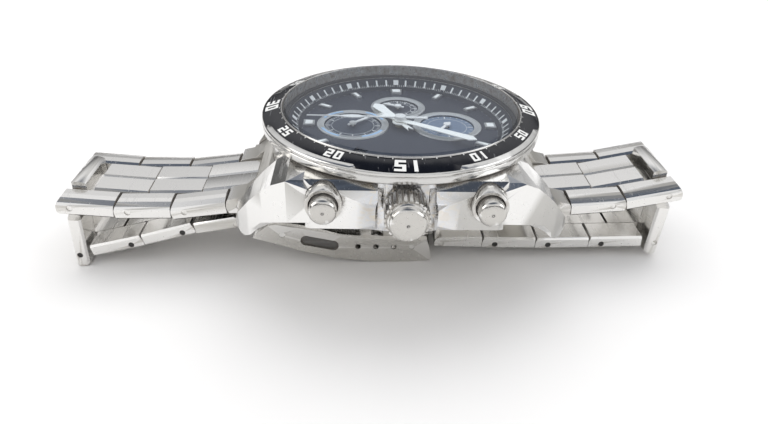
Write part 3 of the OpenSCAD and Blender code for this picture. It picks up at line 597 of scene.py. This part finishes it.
def ring_mesh(bm, cx, cy, r0, r1, z, lift, a0=0.0, a1=2 * math.pi, steps=96):
    closed = a1 - a0 > 6.28
    loops = []
    count = steps if closed else steps + 1
    for i in range(count):
        a = a0 + (a1 - a0) * i / steps
        loops.append([
            bm.verts.new((cx + r * math.cos(a), cy + r * math.sin(a), z + h))
            for r, h in ((r0, 0), (r1, 0), (r1, lift), (r0, lift))
        ])
    for i in range(steps):
        p, q = loops[i], loops[(i + 1) % count]
        for k in range(4):
            bm.faces.new((p[k], p[(k + 1) % 4], q[(k + 1) % 4], q[k]))
    if not closed:
        bm.faces.new(loops[0])
        bm.faces.new(loops[-1])


for label, (pos, radius, divs) in counters.items():
    cx, cy = pos[0], pos[1]
    floor_z = dial_hi.z - 0.15 * MM
    r = radius * MM
    bm = bmesh.new()
    tones = {"six": ((0.03, 0.04, 0.06), (0.07, 0.09, 0.13)),
             "twelve": ((0.13, 0.18, 0.27), (0.24, 0.31, 0.42)),
             "nine": ((0.02, 0.025, 0.04), (0.06, 0.07, 0.1))}[label]
    ring_mesh(bm, cx, cy, 0.45 * MM, r - 0.03 * MM, floor_z + 0.002 * MM, 0.02 * MM)
    add_mesh(f"counter_{label}_floor", bm, dial_face(f"counter_{label}_lacquer", (cx, cy, 0), *tones, rings=18))
    bm = bmesh.new()
    for i in range(divs):
        a = 2 * math.pi * i / divs
        big = i % (divs // 4 if divs == 24 else 5) == 0
        flat_bar(bm, a, r - (0.95 if big else 0.6) * MM, r - 0.15 * MM, (0.16 if big else 0.07) * MM,
                 (0.16 if big else 0.07) * MM, floor_z + 0.025 * MM, 0.02 * MM, cx, cy)
    ring_mesh(bm, cx, cy, r - 1.15 * MM, r - 1.1 * MM, floor_z + 0.025 * MM, 0.015 * MM)
    add_mesh(f"counter_{label}_scale", bm, WHITE)
bm = bmesh.new()
cx, cy = counters["six"][0][:2]
for a0 in (0.35, 1.9, 3.5, 5.0):
    ring_mesh(bm, cx, cy, 4.75 * MM, 5.15 * MM, dial_hi.z + 0.2 * MM, 0.03 * MM, a0, a0 + 0.8, 16)
add_mesh("counter_six_accents", bm, BLUE)

# painted shade: dark discs on the pin ends of the removable links, where the pin holes lie in shade
PIN_HOLE_SHADE = rubbery("pin_hole_shade")
PIN_AT = {
    "link_6_4": "bend_6_5", "link_6_5": "bend_6_6", "link_6_6": "bend_6_7",
    "link_12_4": "bend_12_5", "link_12_5": "bend_12_6", "link_12_6": "bend_12_7",
}
for name, joint in PIN_AT.items():
    pos = joints[joint]["pos_m"]
    side_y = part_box(name)[1].y - 0.09 * MM
    bm = bmesh.new()
    for side in (-1, 1):
        hub = bm.verts.new((pos[0], side * side_y, pos[2]))
        rim = [
            bm.verts.new((pos[0] + 0.43 * MM * math.cos(i * math.pi / 12), side * (side_y + 0.004 * MM),
                          pos[2] + 0.43 * MM * math.sin(i * math.pi / 12)))
            for i in range(24)
        ]
        for i in range(24):
            bm.faces.new((hub, rim[i], rim[(i + 1) % 24]))
    add_mesh(f"pin_hole_shade_{name}", bm, PIN_HOLE_SHADE, body=name)

# ---------------------------------------------------------------- stage, light and camera

low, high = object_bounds()
fold_lo, fold_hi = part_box("link_6_4")
cover_lo, cover_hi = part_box("clasp_cover")
fold_x = fold_lo.x
cover_x = (cover_lo.x + 3 * cover_hi.x) / 4
rise = (cover_lo.z - fold_lo.z) / (cover_x - fold_x)
bm = bmesh.new()
size = 3.0
for x, y in ((-size, -size), (size, -size), (size, size), (-size, size)):
    bm.verts.new((x, y, fold_lo.z - 0.05 * MM + rise * (x - fold_x)))
bm.faces.new(bm.verts)
me = bpy.data.meshes.new("floor")
bm.to_mesh(me)
bm.free()
floor = bpy.data.objects.new("floor", me)
bpy.context.scene.collection.objects.link(floor)
g = Graph("floor_paper")
speck = g.noise((0.02, 0.02, 0.02), 3)
g.surface(g.mix(speck, (0.93, 0.92, 0.905), (0.9, 0.888, 0.875)), 0.0, 0.8)
floor.data.materials.append(g.mat)

world = bpy.data.worlds.new("studio")
bpy.context.scene.world = world
world.use_nodes = True
wt = world.node_tree
wt.nodes.clear()
wout = wt.nodes.new("ShaderNodeOutputWorld")
coord = wt.nodes.new("ShaderNodeTexCoord")
sep = wt.nodes.new("ShaderNodeSeparateXYZ")
wt.links.new(coord.outputs["Generated"], sep.inputs[0])
ramp = wt.nodes.new("ShaderNodeValToRGB")
wt.links.new(sep.outputs[2], ramp.inputs[0])
e = ramp.color_ramp.elements
e[0].position, e[0].color = 0.0, (0.05, 0.05, 0.055, 1)
e[1].position, e[1].color = 1.0, (0.85, 0.87, 0.9, 1)
for pos, val in ((0.1, 0.12), (0.24, 0.4), (0.5, 0.78), (0.75, 1.0)):
    e.new(pos).color = (val, val, val * 1.01, 1)
lit = wt.nodes.new("ShaderNodeBackground")
over = wt.nodes.new("ShaderNodeVectorMath")
over.operation = "DOT_PRODUCT"
wt.links.new(coord.outputs["Generated"], over.inputs[0])
over.inputs[1].default_value = Vector((0.0, 0.1, 0.995)).normalized()
shade = wt.nodes.new("ShaderNodeValToRGB")
wt.links.new(over.outputs["Value"], shade.inputs[0])
shade.color_ramp.elements[0].position, shade.color_ramp.elements[0].color = 0.78, (1, 1, 1, 1)
shade.color_ramp.elements[1].position, shade.color_ramp.elements[1].color = 0.92, (0.1, 0.12, 0.16, 1)
sky = wt.nodes.new("ShaderNodeMix")
sky.data_type, sky.blend_type = "RGBA", "MULTIPLY"
sky.inputs[0].default_value = 1.0
wt.links.new(ramp.outputs[0], sky.inputs[6])
wt.links.new(shade.outputs[0], sky.inputs[7])
wt.links.new(sky.outputs[2], lit.inputs[0])
lit.inputs[1].default_value = 1.06
plain = wt.nodes.new("ShaderNodeBackground")
plain.inputs[0].default_value = (1, 1, 1, 1)
plain.inputs[1].default_value = 1.0
path = wt.nodes.new("ShaderNodeLightPath")
wmix = wt.nodes.new("ShaderNodeMixShader")
wt.links.new(path.outputs["Is Camera Ray"], wmix.inputs[0])
wt.links.new(lit.outputs[0], wmix.inputs[1])
wt.links.new(plain.outputs[0], wmix.inputs[2])
wt.links.new(wmix.outputs[0], wout.inputs[0])


def area(name, at, size_x, size_y, power, colour=(1, 1, 1), aim=(0, 0, 0)):
    data = bpy.data.lights.new(name, "AREA")
    data.shape = "RECTANGLE"
    data.size, data.size_y = size_x, size_y
    data.energy = power
    data.color = colour
    obj = bpy.data.objects.new(name, data)
    obj.location = at
    obj.rotation_euler = (Vector(aim) - Vector(at)).to_track_quat("-Z", "Y").to_euler()
    bpy.context.scene.collection.objects.link(obj)
    return obj


area("key_top", (0.0, 0.3, 0.5), 0.9, 0.5, 2.6).visible_glossy = False
area("fill_left", (-0.4, -0.05, 0.22), 0.25, 0.25, 0.4, (1, 0.98, 0.95))
area("fill_right", (0.42, -0.1, 0.2), 0.25, 0.25, 0.3, (0.96, 0.98, 1))
area("front_low", (0.05, -0.45, 0.16), 0.4, 0.12, 0.1)


def place_camera():
    """The photograph's view: azimuth, elevation, roll and distance about a point under the head."""
    az, el, roll = (math.radians(v) for v in (-2.51, 31.08, 1.97))
    back = Vector((math.sin(az) * math.cos(el), -math.cos(az) * math.cos(el), math.sin(el)))
    right = (-back).cross(Vector((0, 0, 1))).normalized()
    up = right.cross(-back)
    right, up = (
        math.cos(roll) * right + math.sin(roll) * up,
        -math.sin(roll) * right + math.cos(roll) * up,
    )
    aim = Vector((-2.02, 0, -7.82)) * MM
    data = bpy.data.cameras.new("photo_view")
    data.sensor_width = 36
    data.lens = 30.88
    data.clip_start = 0.001
    cam = bpy.data.objects.new("photo_view", data)
    m = Matrix((right, up, back)).transposed().to_4x4()
    m.translation = aim + back * 110.3 * MM
    cam.matrix_world = m
    bpy.context.scene.collection.objects.link(cam)
    bpy.context.scene.camera = cam


place_camera()
bpy.context.scene.view_settings.view_transform = "Standard"
